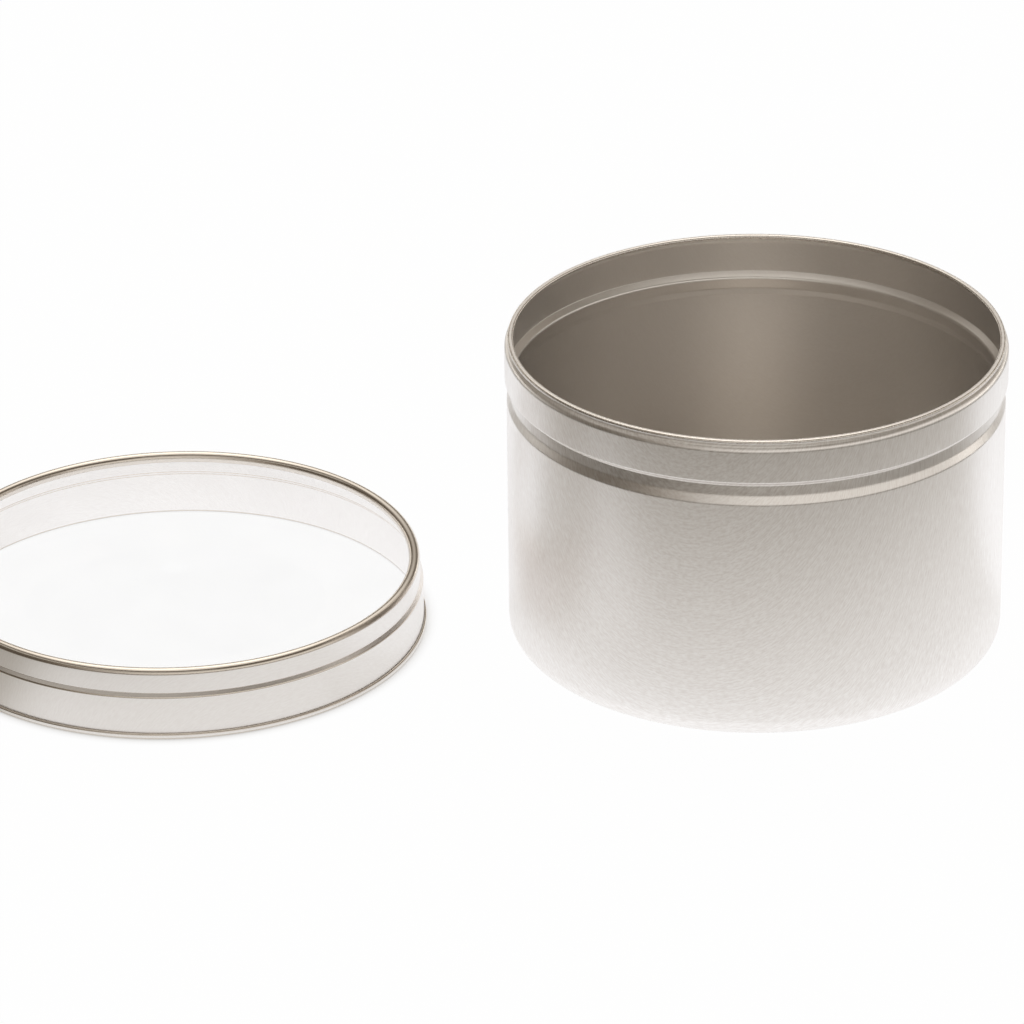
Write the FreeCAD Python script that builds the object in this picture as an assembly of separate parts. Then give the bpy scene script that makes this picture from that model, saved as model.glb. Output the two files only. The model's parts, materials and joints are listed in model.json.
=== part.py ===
"""Window lid tin: a seamless drawn tin, with its slip lid of a drawn ring and a clear window lying beside it.

Millimetres, +Z up. The origin is the centre of the tin's standing ring on the table plane.
"""
import FreeCAD
import Part
import math
import os

# Sheet metal and the clear window sheet
sheet = 0.25
window_sheet = 0.4

# Tin, measured on the outside of the sheet
tin_height = 53.8
body_radius = 41.3
base_corner = 3.4
panel_radius = 34.5
panel_rise = 0.6
panel_step = 1.2

# Groove below the neck, which the lid's foot hangs beside, with a floor that leans out downwards
groove_radius = 40.75
groove_top_radius = 40.45
groove_foot_z = 42.55
groove_floor_z = 43.9
groove_floor_top_z = 45.75
neck_foot_z = 46.6

# Neck, the shoulder that leans in from it to a crease, and the flattened rim that is rolled in above the crease
neck_radius = 41.6
shoulder_z = 52.4
crease_radius = 40.86
crease_z = 53.05
rim_radius = 41.1
rim_foot_z = 53.2
rim_width = 1.0
rim_height = 0.72

# Fits between the lid and the neck
skirt_clearance = 0.1
seat_width = 0.4

# Lid, measured from its foot
lid_height = 12.2
lid_step_z = 7.45
lid_step_height = 0.6
lid_curl = 1.9
foot_height = 1.0
foot_reach = 0.45

# Window under the lid's curl
window_play = 0.05
window_flange = 0.9

# Inside radii of the bends in the sheet
panel_bend = 0.5
body_bend = 0.8
groove_bend = 0.35
groove_floor_bend = 2.0
neck_edge_bend = 0.15
shoulder_bend = 1.0
crease_bend = 0.06
band_bend = 0.1
step_bend = 0.3
window_bend = 0.3

# Free space between the tin's neck and the lid that lies beside it
lid_gap = 13.7

# Lid radii that follow from the neck
skirt_radius = neck_radius + skirt_clearance + sheet
band_radius = neck_radius - seat_width + sheet
foot_radius = skirt_radius + foot_reach
lid_centre = FreeCAD.Vector(-(neck_radius + lid_gap + foot_radius), 0, 0)

SMALLEST_RUN = 1e-6


def at(radius, height):
    """Point of a section in the XZ plane."""
    return FreeCAD.Vector(radius, 0, height)


def left_of(direction):
    """Unit vector square to a direction in the XZ plane, on its left with X right and Z up."""
    return FreeCAD.Vector(-direction.z, 0, direction.x)


def bent_sheet(outline, bends, thickness):
    """Section of a bent sheet, from the corners of one face with the sheet on their left.

    The outline runs from edge to edge of the sheet, and bends holds the inside radius of each corner between.
    Both faces of a bend share one centre, so the sheet keeps its thickness all the way.
    """
    right_face = []
    left_face = []
    start = outline[0]
    heading = (outline[1] - outline[0]).normalize()
    edge_side = left_of(heading) * thickness
    first_edge = (start + edge_side, start)

    for corner, after, bend in zip(outline[1:-1], outline[2:], bends):
        turned = (after - corner).normalize()
        turn = math.atan2(left_of(heading).dot(turned), heading.dot(turned))
        inward = 1 if turn > 0 else -1
        radius = bend + thickness if inward > 0 else bend
        reach = radius * math.tan(abs(turn) / 2)
        arc_start = corner - heading * reach
        arc_end = corner + turned * reach
        centre = arc_start + left_of(heading) * (inward * radius)
        middle = (corner - centre).normalize()
        add_run(right_face, left_face, start, arc_start, left_of(heading) * thickness)
        for face, face_radius in ((right_face, radius), (left_face, radius - inward * thickness)):
            spokes = [(arc_start - centre).normalize(), middle, (arc_end - centre).normalize()]
            face.append(Part.Arc(*[centre + spoke * face_radius for spoke in spokes]).toShape())
        start = arc_end
        heading = turned

    add_run(right_face, left_face, start, outline[-1], left_of(heading) * thickness)
    last_edge = (outline[-1], outline[-1] + left_of(heading) * thickness)
    edges = [Part.LineSegment(*ends).toShape() for ends in (first_edge, last_edge)]
    wire = Part.Wire(Part.__sortEdges__(right_face + left_face + edges))
    return Part.Face(wire)


def add_run(right_face, left_face, start, end, across):
    """Add a straight run of the sheet to both faces, unless two bends follow one another directly."""
    if (end - start).Length < SMALLEST_RUN:
        return
    right_face.append(Part.LineSegment(start, end).toShape())
    left_face.append(Part.LineSegment(start + across, end + across).toShape())


def spun(section):
    """Section turned all the way round the Z axis into one solid."""
    return section.revolve(at(0, 0), FreeCAD.Vector(0, 0, 1), 360)


def rolled_in(radius, top, width, height):
    """Outline corners and bends of an edge rolled inwards through three quarters of a turn."""
    inner = radius - width
    foot = top - height
    corners = [at(radius, top), at(inner, top), at(inner, foot), at(inner + height / 2, foot)]
    return corners, [height / 2 - sheet] * 3


def tin_body():
    """Seamless drawn shell: recessed base, wall, groove, neck and a rim rolled inwards."""
    rim_corners, rim_bends = rolled_in(rim_radius, tin_height, rim_width, rim_height)
    outline = [
        at(0, panel_rise),
        at(panel_radius, panel_rise),
        at(panel_radius + panel_step, 0),
        at(body_radius, 0),
        at(body_radius, groove_foot_z),
        at(groove_radius, groove_floor_z),
        at(groove_top_radius, groove_floor_top_z),
        at(neck_radius, neck_foot_z),
        at(neck_radius, shoulder_z),
        at(crease_radius, crease_z),
        at(rim_radius, rim_foot_z),
    ]
    bends = [panel_bend, panel_bend, base_corner - sheet, body_bend, groove_floor_bend, groove_bend,
             neck_edge_bend, shoulder_bend, crease_bend, rim_height / 2 - sheet]
    return spun(bent_sheet(outline + rim_corners, bends + rim_bends, sheet))


def lid_ring():
    """Drawn ring: hemmed foot, skirt over the neck, step that seats on it, band and a top curl rolled inwards."""
    hem_bend = (foot_reach - sheet) / 2
    hem_top = foot_height - sheet
    curl_corners, curl_bends = rolled_in(band_radius, lid_height, lid_curl, lid_curl)
    outline = [
        at(skirt_radius + hem_bend, hem_top),
        at(skirt_radius + 2 * hem_bend, hem_top),
        at(skirt_radius + 2 * hem_bend, sheet),
        at(skirt_radius, sheet),
        at(skirt_radius, lid_step_z),
        at(band_radius, lid_step_z + lid_step_height),
    ]
    bends = [hem_bend, hem_bend, hem_bend, step_bend, band_bend]
    return spun(bent_sheet(outline + curl_corners, bends + curl_bends, sheet))


def lid_window():
    """Clear pressed tray: a flat disc close under the curl, with a flange turned down inside the band."""
    radius = band_radius - sheet - window_play
    top = lid_height - lid_curl - window_play
    outline = [at(radius, top - window_flange), at(radius, top), at(0, top)]
    return spun(bent_sheet(outline, [window_bend], window_sheet))


os.makedirs("parts", exist_ok=True)
tin_body().exportStep("parts/tin_body.step")
for name, piece in (("lid_ring", lid_ring()), ("lid_window", lid_window())):
    piece.translated(lid_centre).exportStep(f"parts/{name}.step")
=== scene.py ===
"""Looks of a window lid tin: a seamless drawn tin, and beside it the slip lid with its clear window.

Metres, +Z up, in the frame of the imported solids.
"""
import json
import math
import bpy
import numpy as np
from mathutils import Matrix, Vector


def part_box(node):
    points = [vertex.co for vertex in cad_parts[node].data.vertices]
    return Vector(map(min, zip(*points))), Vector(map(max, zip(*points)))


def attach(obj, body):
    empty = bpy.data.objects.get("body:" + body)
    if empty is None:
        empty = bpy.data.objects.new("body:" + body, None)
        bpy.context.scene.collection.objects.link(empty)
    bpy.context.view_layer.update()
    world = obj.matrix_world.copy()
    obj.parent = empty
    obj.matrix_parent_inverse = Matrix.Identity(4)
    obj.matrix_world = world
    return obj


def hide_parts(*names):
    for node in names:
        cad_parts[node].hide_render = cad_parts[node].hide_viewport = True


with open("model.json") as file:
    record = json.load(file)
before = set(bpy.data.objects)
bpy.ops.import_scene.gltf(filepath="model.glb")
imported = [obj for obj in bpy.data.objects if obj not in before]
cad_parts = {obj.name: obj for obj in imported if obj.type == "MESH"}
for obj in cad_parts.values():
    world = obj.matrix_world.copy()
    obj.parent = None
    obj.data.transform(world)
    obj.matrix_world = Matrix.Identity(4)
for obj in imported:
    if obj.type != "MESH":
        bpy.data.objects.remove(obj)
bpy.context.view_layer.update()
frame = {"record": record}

# Tin body: one round blank of tinplate, drawn into a cup without a seam. The groove under the neck is rolled into
# the wall, the rim is curled inwards into a bead, and the base is pushed up so that the tin stands on a ring.
mm = 0.001
mounts = {mount["name"]: mount for mount in frame["record"]["mounts"]}
neck_radius = mounts["tin_neck"]["dims"]["r_mm"] * mm
tin_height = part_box("tin_body")[1].z
tin_sheet = 0.25 * mm
body_radius = neck_radius - 0.3 * mm
groove_radius = neck_radius - 0.85 * mm
groove_top_radius = neck_radius - 1.15 * mm
crease_radius = neck_radius - 0.74 * mm
rim_radius = neck_radius - 0.5 * mm
rim_width = 1.0 * mm
rim_height = 0.72 * mm
base_corner = 3.4 * mm
panel_radius = 34.5 * mm
panel_rise = 0.6 * mm
panel_step = 1.2 * mm
rim_foot = tin_height - 0.6 * mm
crease = tin_height - 0.75 * mm
shoulder_foot = tin_height - 1.4 * mm
neck_foot = tin_height - 7.2 * mm
groove_top = tin_height - 8.05 * mm
groove_floor = tin_height - 9.9 * mm
groove_foot = tin_height - 11.25 * mm
panel_bend = 0.5 * mm
body_bend = 0.8 * mm
groove_floor_bend = 2.0 * mm
groove_bend = 0.35 * mm
neck_edge_bend = 0.15 * mm
shoulder_bend = 1.0 * mm
crease_bend = 0.06 * mm
tin_rolling = math.radians(-15.5)
arc_points = 8
longest_run = 2.4 * mm
shortest_run = 0.001 * mm
around = 256
# How far the rim's bends are polished smoother and darkened brown with painted shade.
rim_polish_and_shade = 0.6
inside_lacquer = 0.8


def bent_sheet(outline, bends, gauge, polish_and_shade):
    """Both faces of a bent sheet on (radius, height) corners, the normal of the first and its polish and painted shade.

    The sheet is on the left. A corner is an arc about a centre that stands off both of its runs by the bend's radius.
    The second face has the same centres, with the gauge added to or taken from the radius. The polish and painted shade
    of a bend is how far it is polished smoother and darkened brown between its ends, and the sheet's cut edges take it
    in full. Runs are divided so that a map can follow them.
    """
    corners = np.array(outline)
    heading = np.diff(corners, axis=0)
    heading /= np.linalg.norm(heading, axis=1, keepdims=True)
    left = np.stack([-heading[:, 1], heading[:, 0]], axis=1)
    turn = np.arctan2((left[:-1] * heading[1:]).sum(1), (heading[:-1] * heading[1:]).sum(1))
    inward = np.sign(turn)
    radius = np.array(bends) + np.where(inward > 0, gauge, 0)
    arc_start = corners[1:-1] - heading[:-1] * (radius * np.tan(abs(turn) / 2))[:, None]
    centre = arc_start + left[:-1] * (inward * radius)[:, None]
    spoke_start = arc_start - centre
    angle = np.arctan2(spoke_start[:, 1], spoke_start[:, 0])[:, None] + turn[:, None] * np.linspace(0, 1, arc_points)
    spoke = np.stack([np.cos(angle), np.sin(angle)], axis=2)
    first = centre[:, None] + spoke * radius[:, None, None]
    second = centre[:, None] + spoke * (radius - inward * gauge)[:, None, None]
    normal = spoke * inward[:, None, None]
    point_polish_and_shade = np.zeros((len(turn), arc_points, 1))
    point_polish_and_shade[:, 1:-1, 0] = np.array(polish_and_shade)[:, None]
    joined = np.linalg.norm(first[1:, 0] - first[:-1, -1], axis=1) < shortest_run
    point_polish_and_shade[:-1][joined, -1] = point_polish_and_shade[:-1][joined, -2]
    point_polish_and_shade[1:][joined, 0] = point_polish_and_shade[1:][joined, 1]
    arcs = np.concatenate([first, second, normal, point_polish_and_shade], axis=2).reshape(-1, 7)
    edges = np.hstack([corners[[0, -1]], corners[[0, -1]] + left[[0, -1]] * gauge, -left[[0, -1]], [[1], [1]]])
    line = np.vstack([edges[:1], arcs, edges[1:]])
    length = np.linalg.norm(np.diff(line[:, :2], axis=0), axis=1)
    parts = np.where(length > shortest_run, np.ceil(length / longest_run), 0).astype(int)
    before = np.repeat(np.arange(len(length)), parts)
    share = (np.arange(len(before)) - np.repeat(np.cumsum(parts) - parts, parts)) / np.repeat(parts, parts)
    divided = np.vstack([line[before] + (line[before + 1] - line[before]) * share[:, None], line[-1:]])
    return np.split(divided, [2, 4, 6], axis=1)


def blank_radius(face, hole=0.0):
    """Radius of each point of a face in the flat blank, where drawing keeps the area between its hole and the point.

    The square of the radius is that of the hole, plus the length of each step times the sum of its two radii.
    """
    step = np.linalg.norm(np.diff(face, axis=0), axis=1)
    area = np.cumsum((face[1:, 0] + face[:-1, 0]) * step)
    return np.sqrt(hole ** 2 + np.concatenate([[0], area]))


def turned(name, faces, blank, rolling, centre, lacquer=0.0, grain=1.0):
    """Object of a sheet's section, out along its first face and back along its second, turned round an upright axis.

    A section point of radius r and height z becomes the ring (r cos a, r sin a, z), and a point on the axis one pole.
    The map "blank" holds a point's place in the flat sheet, at its blank radius and angle from the rolling direction.
    The point values tell a finish: one for where bends are polished smoother and darkened brown with painted shade,
    "lacquer" for how far the inside is lacquered and "grain" for how strong the grain is.
    """
    first, second, normal, point_polish_and_shade = faces
    points = np.vstack([first, second[::-1]])
    normals = np.vstack([normal, -normal[::-1]])
    off_axis = points[:, 0] > shortest_run
    order = np.argsort(~off_axis, kind="stable")
    rings = off_axis.sum()
    angle = np.arange(around) * math.tau / around
    circle = np.stack([np.cos(angle), np.sin(angle)], axis=1)
    turns = np.repeat(order[:rings], around)
    spin = np.tile(circle, (rings, 1))
    poles = order[rings:]
    rows = np.concatenate([turns, poles])
    spin = np.vstack([spin, np.zeros((len(poles), 2))])
    vertices = np.column_stack([spin * points[rows, :1] + centre, points[rows, 1]])
    vertex_normals = np.column_stack([spin * normals[rows, :1], normals[rows, 1]])
    grain_turn = np.array([[math.cos(rolling), -math.sin(rolling)], [math.sin(rolling), math.cos(rolling)]])
    blank_places = (spin * blank[rows, None]) @ grain_turn

    ring = np.arange(rings * around).reshape(rings, around)
    beside = np.roll(ring, -1, axis=1)
    lower = slice(None, -1) if len(poles) else slice(None)
    above = np.roll(ring, -1, axis=0)[lower]
    above_beside = np.roll(beside, -1, axis=0)[lower]
    quads = np.stack([ring[lower], beside[lower], above_beside, above], axis=2).reshape(-1, 4)
    pole_index = rings * around + np.arange(len(poles))
    fans = [np.column_stack([row, row_beside, np.full(around, pole)]) for row, row_beside, pole
            in zip((beside[0], ring[-1]), (ring[0], beside[-1]), pole_index)]

    mesh = bpy.data.meshes.new(name)
    mesh.from_pydata(vertices, [], quads.tolist() + [face for fan in fans for face in fan.tolist()])
    mesh.shade_smooth()
    corner_vertex = np.empty(len(mesh.loops), dtype=np.int32)
    mesh.loops.foreach_get("vertex_index", corner_vertex)
    mesh.uv_layers.new(name="blank").data.foreach_set("uv", blank_places[corner_vertex].ravel())
    mesh.normals_split_custom_set_from_vertices(vertex_normals)
    polish_and_shade_values = np.concatenate([point_polish_and_shade, point_polish_and_shade[::-1]])[rows, 0]
    lacquered = np.repeat([0.0, lacquer], len(first))[rows]
    grained = np.full(len(rows), grain)
    for value_name, values in (("polish_and_shade", polish_and_shade_values), ("lacquer", lacquered), ("grain", grained)):
        mesh.attributes.new(value_name, "FLOAT", "POINT").data.foreach_set("value", values)
    piece = bpy.data.objects.new(name, mesh)
    bpy.context.scene.collection.objects.link(piece)
    return piece


def rolled_in(radius, top, width, height):
    """Corners and bends of an edge that is curled inwards through three quarters of a turn.

    It goes in by the width, down by the height and back out by half of that, and each bend takes up half the height.
    """
    inner = radius - width
    foot = top - height
    return [(radius, top), (inner, top), (inner, foot), (inner + height / 2, foot)], [height / 2 - tin_sheet] * 3


class Finish:
    """An output socket among a finish's nodes: operators on it add Math nodes, and node() adds any other node."""

    def __init__(self, tree, socket=None):
        self.tree = tree
        self.socket = socket

    def node(self, kind, settings, inputs, output=0):
        """Adds a node, sets its settings and then its sockets, from values or from other outputs."""
        added = self.tree.nodes.new(kind)
        for name, value in settings.items():
            setattr(added, name, value)
        for name, value in inputs.items():
            if isinstance(value, Finish):
                self.tree.links.new(value.socket, added.inputs[name])
            else:
                added.inputs[name].default_value = value
        return Finish(self.tree, added.outputs[output] if added.outputs else None)

    def math(self, operation, first, second):
        """Adds a Math node on two values or outputs."""
        return self.node("ShaderNodeMath", {"operation": operation}, {0: first, 1: second})

    def __add__(self, other):
        return self.math("ADD", self, other)

    def __sub__(self, other):
        return self.math("SUBTRACT", self, other)

    def __rsub__(self, other):
        return self.math("SUBTRACT", other, self)

    def __mul__(self, other):
        return self.math("MULTIPLY", self, other)

    __radd__ = __add__
    __rmul__ = __mul__


def finish_nodes(name):
    """An empty material and the start of its nodes."""
    material = bpy.data.materials.new(name)
    material.use_nodes = True
    material.node_tree.nodes.clear()
    return material, Finish(material.node_tree)


def streaks(nodes, place, length, width):
    """Noise on the flat blank, drawn out along the rolling direction: cells of that length and width."""
    cells = nodes.node("ShaderNodeMapping", {"vector_type": "TEXTURE"}, {"Vector": place, "Scale": (length, width, 1)})
    return nodes.node("ShaderNodeTexNoise", {}, {"Vector": cells, "Scale": 1, "Detail": 2, "Roughness": 0.6})


def soft_step(nodes, value, start, end):
    """Smooth step of a value, 0 at start and 1 at end: three squares of its share of the way, less two cubes."""
    return nodes.node("ShaderNodeMapRange", {"interpolation_type": "SMOOTHSTEP"},
                      {"Value": value, "From Min": start, "From Max": end})


def mixed(nodes, share, first, second):
    """Colour between two others, the first where the share is 0 and the second where it is 1."""
    return nodes.node("ShaderNodeMix", {"data_type": "RGBA"}, {0: share, 6: first, 7: second}, 2)


short_streak = (1.3 * mm, 0.22 * mm)
long_streak = (9 * mm, 0.5 * mm)
cloud_size = (14 * mm, 9 * mm)
short_share = 0.75
grain_from, grain_to = 0.3, 0.7
grain_middle = 0.5
dark_grain = (0.84, 0.805, 0.785, 1)
pale_grain = (1.0, 0.985, 0.975, 1)
lacquered_plate = (0.88, 0.853, 0.825, 1)
# Brown painted shade for the bends and curls, standing in for the dark room that they mirror.
painted_shade_brown = (0.60, 0.53, 0.45, 1)
painted_shade_share = 0.65
satin = 0.30
grain_roughness = 0.08
cloud_roughness = 0.04
burnish_polish = 0.16

tinplate, nodes = finish_nodes("tinplate")
place = nodes.node("ShaderNodeUVMap", {"uv_map": "blank"}, {})
short_grain = streaks(nodes, place, *short_streak)
long_grain = streaks(nodes, place, *long_streak)
clouds = streaks(nodes, place, *cloud_size)
strength, polish_and_shade, lacquer = [nodes.node("ShaderNodeAttribute", {"attribute_name": name}, {}, "Fac")
                              for name in ("grain", "polish_and_shade", "lacquer")]
streaked = soft_step(nodes, short_grain * short_share + long_grain * (1 - short_share), grain_from, grain_to)
grain = grain_middle + (streaked - grain_middle) * strength
bare = mixed(nodes, grain, dark_grain, pale_grain)
plate = mixed(nodes, lacquer, bare, lacquered_plate)
# Bends and curls are darkened brown with painted shade, in the share that they are polished.
plate_with_painted_shade = mixed(nodes, polish_and_shade * painted_shade_share, plate, painted_shade_brown)
roughness = satin + grain * grain_roughness + clouds * cloud_roughness - polish_and_shade * burnish_polish
surface = nodes.node("ShaderNodeBsdfPrincipled", {}, {"Base Color": plate_with_painted_shade, "Metallic": 1, "Roughness": roughness})
nodes.node("ShaderNodeOutputMaterial", {}, {"Surface": surface})

rim_corners, rim_bends = rolled_in(rim_radius, tin_height, rim_width, rim_height)
tin_outline = [
    (0, panel_rise),
    (panel_radius, panel_rise),
    (panel_radius + panel_step, 0),
    (body_radius, 0),
    (body_radius, groove_foot),
    (groove_radius, groove_floor),
    (groove_top_radius, groove_top),
    (neck_radius, neck_foot),
    (neck_radius, shoulder_foot),
    (crease_radius, crease),
    (rim_radius, rim_foot),
]
tin_bends = [panel_bend, panel_bend, base_corner - tin_sheet, body_bend, groove_floor_bend, groove_bend, neck_edge_bend,
             shoulder_bend, crease_bend, rim_height / 2 - tin_sheet]
# Only the rim's bends are polished smoother and take the brown painted shade.
tin_polish_and_shade = [0] * len(tin_bends) + [rim_polish_and_shade] * len(rim_bends)
tin_faces = bent_sheet(tin_outline + rim_corners, tin_bends + rim_bends, tin_sheet, tin_polish_and_shade)
tin_blank = np.concatenate([blank_radius(tin_faces[0]), blank_radius(tin_faces[1])[::-1]])
tin_shell = turned("tin_shell", tin_faces, tin_blank, tin_rolling, (0, 0), lacquer=inside_lacquer)
tin_shell.data.materials.append(tinplate)
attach(tin_shell, "tin")
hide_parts("tin_body")

# Lid ring: a second blank of the same plate with its middle punched out, drawn into a ring. Its foot is hemmed
# outwards, the skirt slips over the neck until the step meets it, and the top is curled in over the window.
lid_low, lid_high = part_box("lid_ring")
lid_centre = ((lid_low.x + lid_high.x) / 2, (lid_low.y + lid_high.y) / 2)
lid_height = lid_high.z
skirt_radius = mounts["lid_skirt"]["dims"]["r_mm"] * mm + tin_sheet
step_width = 0.5 * mm
band_radius = skirt_radius - step_width
foot_radius = lid_high.x - lid_centre[0]
foot_height = 1.0 * mm
step_foot = 7.45 * mm
step_top = 8.05 * mm
lid_curl = 1.9 * mm
lid_hole = 36 * mm
step_bend = 0.3 * mm
band_bend = 0.1 * mm
lid_rolling = math.radians(35)
lid_grain = 0.35
hem_bend = (foot_radius - skirt_radius - tin_sheet) / 2
hem_top = foot_height - tin_sheet

curl_corners, curl_bends = rolled_in(band_radius, lid_height, lid_curl, lid_curl)
lid_outline = [
    (skirt_radius + hem_bend, hem_top),
    (skirt_radius + 2 * hem_bend, hem_top),
    (skirt_radius + 2 * hem_bend, tin_sheet),
    (skirt_radius, tin_sheet),
    (skirt_radius, step_foot),
    (band_radius, step_top),
]
lid_bends = [hem_bend, hem_bend, hem_bend, step_bend, band_bend]
# All of the lid's bends are polished smoother and darkened brown with painted shade.
lid_polish_and_shade = [1] * len(lid_bends + curl_bends)
lid_faces = bent_sheet(lid_outline + curl_corners, lid_bends + curl_bends, tin_sheet, lid_polish_and_shade)
lid_blank = np.concatenate([blank_radius(lid_faces[0][::-1], lid_hole)[::-1],
                            blank_radius(lid_faces[1][::-1], lid_hole)])
lid_collar = turned("lid_collar", lid_faces, lid_blank, lid_rolling, lid_centre, grain=lid_grain)
lid_collar.data.materials.append(tinplate)
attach(lid_collar, "lid")
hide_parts("lid_ring")

# Lid window: a clear plastic disc, pressed with a short flange that is turned down inside the lid's band. It lies
# close under the curl, and is so clear that little more than a faint gloss and a trace of haze shows.
window_sheet = 0.4 * mm
window_play = 0.05 * mm
window_radius = band_radius - tin_sheet - window_play
window_top = lid_height - lid_curl - window_play
window_flange = 0.9 * mm
window_bend = 0.3 * mm
window_colour = (0.96, 0.97, 0.97, 1)
window_gloss = 0.03
haze_roughness = 0.05
clear_film = 0.005
haze_film = 0.02
window_outline = [(window_radius, window_top - window_flange), (window_radius, window_top), (0, window_top)]
window_faces = bent_sheet(window_outline, [window_bend], window_sheet, [0])
window_blank = np.concatenate([window_faces[0][:, 0], window_faces[1][::-1, 0]])
window_pane = turned("window_pane", window_faces, window_blank, 0, lid_centre)

clear_window, nodes = finish_nodes("clear_window")
place = nodes.node("ShaderNodeUVMap", {"uv_map": "blank"}, {})
haze = nodes.node("ShaderNodeTexNoise", {}, {"Vector": place, "Scale": 90, "Detail": 3})
surface = nodes.node("ShaderNodeBsdfPrincipled", {}, {
    "Base Color": window_colour, "Metallic": 1, "Roughness": window_gloss + haze * haze_roughness,
    "Alpha": clear_film + haze * haze_film})
nodes.node("ShaderNodeOutputMaterial", {}, {"Surface": surface})
window_pane.data.materials.append(clear_window)
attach(window_pane, "lid")
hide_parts("lid_window")

# Table: a white board with painted pools of light, a wide one, one behind the tin and one round each piece, which
# glow only where the metal mirrors the table. The camera sees it white with a faint share of the shadow on it and a
# thin painted contact shadow at the lid's foot, and the metal mirrors how the painted light dims towards the front,
# the sides and the back.
table_front = -0.5
table_back = 0.9
table_side = 0.8
pool_line = 0.040
dims_from, dims_to = 0.07, 0.26
dimmed_share = 0.5
least_light = 0.03
red_power = 0.93
blue_power = 1.12
foot_shade = 2 * mm
white_share = 0.985
paint_white = (0.9, 0.9, 0.9, 1)
pure_white = (1, 1, 1, 1)

table_mesh = bpy.data.meshes.new("table")
table_mesh.from_pydata([(-table_side, table_front, 0), (table_side, table_front, 0), (table_side, table_back, 0),
                        (-table_side, table_back, 0)], [], [(0, 1, 2, 3)])
table = bpy.data.objects.new("table", table_mesh)
bpy.context.scene.collection.objects.link(table)

table_paint, nodes = finish_nodes("table_paint")
table_paint.cycles.emission_sampling = "NONE"
place = nodes.node("ShaderNodeTexCoord", {}, {}, "Object")


def pool(where, centre, reach, full, gone):
    """Pool of light on the table, by the distance from its centre in shares of its reach along X and Y.

    It fades by a smooth step from the share where it is full to the one where it is gone.
    """
    scaled = nodes.node("ShaderNodeMapping", {"vector_type": "TEXTURE"},
                        {"Vector": where, "Location": (*centre, 0), "Scale": (*reach, 1)})
    distance = nodes.node("ShaderNodeVectorMath", {"operation": "LENGTH"}, {0: scaled}, "Value")
    return soft_step(nodes, distance, gone, full)


# Behind the pool line the wide pool and the back one run straight on, as if each place lay on the line.
ahead = nodes.node("ShaderNodeVectorMath", {"operation": "MINIMUM"}, {0: place, 1: (table_side, pool_line, 0)})
wide_pool = pool(ahead, centre=(0.007, pool_line), reach=(0.159, 0.169), full=0.28, gone=1.72) * 0.89
back_pool = pool(ahead, centre=(-0.005, pool_line), reach=(0.12, 0.03), full=0.9, gone=2.2) * 1.08
tin_pool = pool(place, centre=(0, 0.005), reach=(0.073, 0.073), full=0.6, gone=1.4) * 0.99
lid_pool = pool(place, centre=(-0.085, -0.050), reach=(0.06, 0.03), full=0.6, gone=1.4) * 0.8
pooled = nodes.math("MAXIMUM", nodes.math("MAXIMUM", wide_pool, back_pool), nodes.math("MAXIMUM", tin_pool, lid_pool))
back = nodes.node("ShaderNodeSeparateXYZ", {}, {"Vector": place}, "Y")
lit = nodes.math("MAXIMUM", pooled * (1 - soft_step(nodes, back, dims_from, dims_to) * dimmed_share), least_light)
warm_lit = nodes.node("ShaderNodeCombineColor", {}, {
    "Red": nodes.math("POWER", lit, red_power), "Green": lit, "Blue": nodes.math("POWER", lit, blue_power)})
mirrored, camera_sees, through = [nodes.node("ShaderNodeLightPath", {}, {}, f"Is {kind} Ray")
                                  for kind in ("Glossy", "Camera", "Transmission")]
# Painted contact shadow: ambient occlusion dims the white only in a thin ring just outside the lid's foot.
open_sky = nodes.node("ShaderNodeAmbientOcclusion", {}, {"Distance": foot_shade}, "AO")
lid_foot = (foot_radius, foot_radius)
outside_foot = pool(place, lid_centre, lid_foot, full=0.99, gone=0.98)
near_foot = outside_foot * pool(place, lid_centre, lid_foot, full=1.05, gone=1.1)
shown = nodes.math("MAXIMUM", camera_sees, through) * (white_share - (1 - open_sky) * near_foot)
paint = nodes.node("ShaderNodeBsdfDiffuse", {}, {"Color": paint_white})
white = nodes.node("ShaderNodeEmission", {}, {"Color": pure_white, "Strength": 1})
seen = nodes.node("ShaderNodeMixShader", {}, {0: shown, 1: paint, 2: white})
reflected = nodes.node("ShaderNodeEmission", {}, {"Color": warm_lit, "Strength": 1})
surface = nodes.node("ShaderNodeMixShader", {}, {0: mirrored, 1: seen, 2: reflected})
nodes.node("ShaderNodeOutputMaterial", {}, {"Surface": surface})
table_mesh.materials.append(table_paint)

# Studio: a dim room with soft, slightly warm panels round the table and overhead, which the satin plate shows as pale
# and dark bands. The camera itself sees plain white behind the table.
room_light = 0.10
bright_light = 0.6
dim_tint = (1.2, 1.0, 0.78, 1)
bright_tint = (1.05, 1.0, 0.92, 1)
overhead_tilt = math.radians(8)
overhead_full = math.radians(14)
overhead_gone = math.radians(36)
studio = bpy.data.worlds.new("studio")
studio.use_nodes = True
studio.node_tree.nodes.clear()
bpy.context.scene.world = studio
nodes = Finish(studio.node_tree)
direction = nodes.node("ShaderNodeTexCoord", {}, {}, "Generated")
height = nodes.node("ShaderNodeSeparateXYZ", {}, {"Vector": direction}, "Z")
flat = nodes.node("ShaderNodeVectorMath", {"operation": "MULTIPLY"}, {0: direction, 1: (1, 1, 0)})
level_direction = nodes.node("ShaderNodeVectorMath", {"operation": "NORMALIZE"}, {0: flat})


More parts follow.
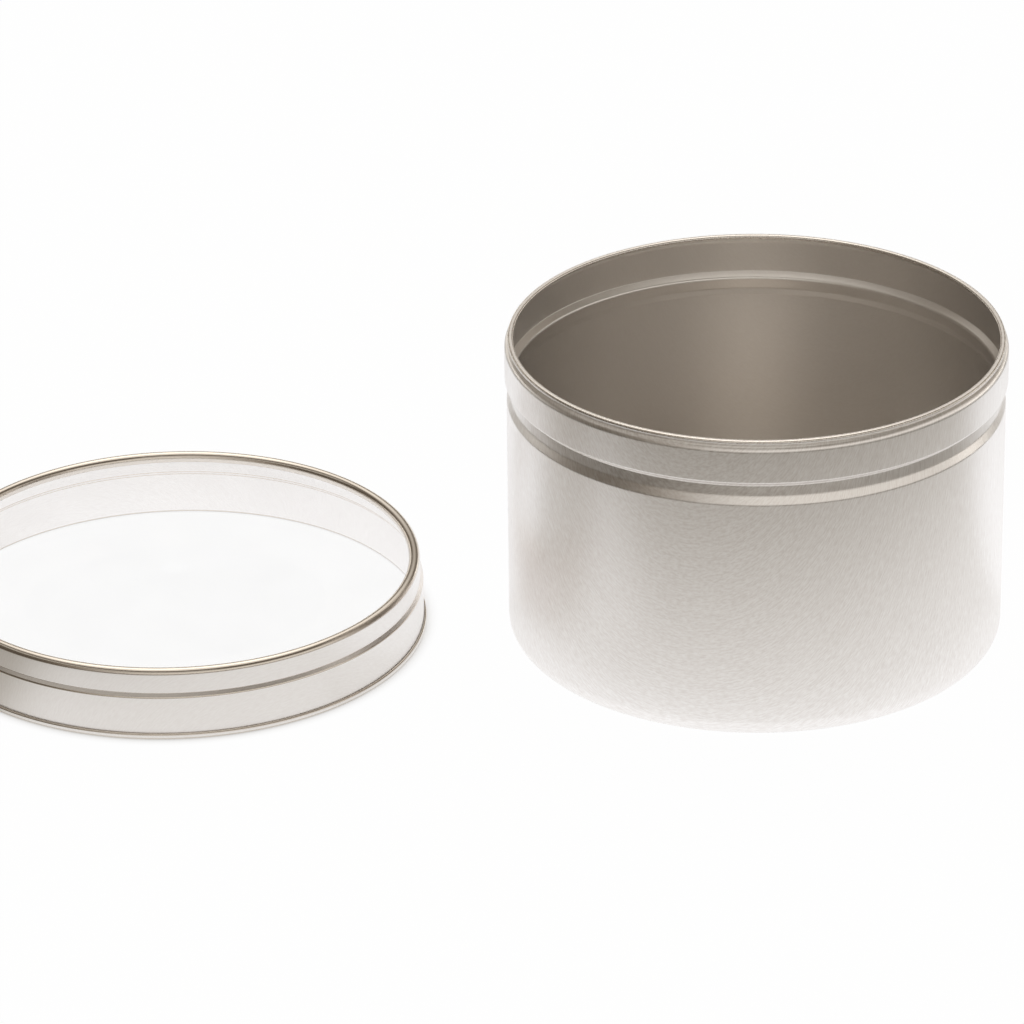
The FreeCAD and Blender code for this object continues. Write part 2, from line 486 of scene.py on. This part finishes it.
def panel(bearing, sides, rise, fall):
    """Share of a soft panel in a direction: full up to the first angle of sides from its bearing, gone at the second.

    It fades in over the angles of rise and out over those of fall. Bearings go from the front, -Y, towards +X.
    """
    bearing, *edges = [math.radians(angle) for angle in (bearing, *sides, *rise, *fall)]
    toward = nodes.node("ShaderNodeVectorMath", {"operation": "DOT_PRODUCT"},
                        {0: level_direction, 1: (math.sin(bearing), -math.cos(bearing), 0)}, "Value")
    sideways = soft_step(nodes, toward, math.cos(edges[1]), math.cos(edges[0]))
    above = soft_step(nodes, height, math.sin(edges[2]), math.sin(edges[3]))
    below = soft_step(nodes, height, math.sin(edges[5]), math.sin(edges[4]))
    return sideways * above * below


overhead = nodes.node("ShaderNodeVectorMath", {"operation": "DOT_PRODUCT"},
                      {0: direction, 1: (0, math.sin(overhead_tilt), math.cos(overhead_tilt))}, "Value")
overhead_light = soft_step(nodes, overhead, math.cos(overhead_gone), math.cos(overhead_full))
front_light = panel(43, sides=(37, 103), rise=(-10, 12), fall=(20, 43)) * 0.80
right_strip = panel(126, sides=(14, 34), rise=(-19, -11), fall=(4, 11.5)) * 1.5
left_strip = panel(-156, sides=(0, 70), rise=(-14, -7), fall=(3.5, 10.5)) * 1.5
back_light = panel(186, sides=(0, 58), rise=(18, 44), fall=(64, 89)) * 1.2
front_strip = panel(-42, sides=(61, 71), rise=(31, 40), fall=(43.5, 52)) * 0.5
light = room_light + front_light + right_strip + left_strip + back_light + front_strip + overhead_light
tint = mixed(nodes, soft_step(nodes, light, room_light, bright_light), dim_tint, bright_tint)
room = nodes.node("ShaderNodeBackground", {}, {"Color": tint, "Strength": light})
backdrop = nodes.node("ShaderNodeBackground", {}, {"Color": pure_white, "Strength": 1})
camera_sees = nodes.node("ShaderNodeLightPath", {}, {}, "Is Camera Ray")
surround = nodes.node("ShaderNodeMixShader", {}, {0: camera_sees, 1: room, 2: backdrop})
nodes.node("ShaderNodeOutputWorld", {}, {"Surface": surround})

# Camera: a long lens about a metre in front of the tin, which looks down on it and lets the lid run out of the frame.
# Its angles are in degrees, and before it is tilted it looks straight down.
camera_place = (-0.0053, -0.9596, 0.4954)
camera_pan = 2.11
look_down = 26.30
camera_roll = -0.65
camera_data = bpy.data.cameras.new("camera")
camera_data.sensor_width = 36
camera_data.lens = 225
camera = bpy.data.objects.new("camera", camera_data)
pan = Matrix.Rotation(math.radians(camera_pan), 4, "Z")
tilt = Matrix.Rotation(math.radians(90 - look_down), 4, "X")
roll = Matrix.Rotation(math.radians(camera_roll), 4, "Z")
camera.matrix_world = Matrix.Translation(camera_place) @ pan @ tilt @ roll
bpy.context.scene.collection.objects.link(camera)
bpy.context.scene.camera = camera
bpy.context.scene.view_settings.view_transform = "Standard"
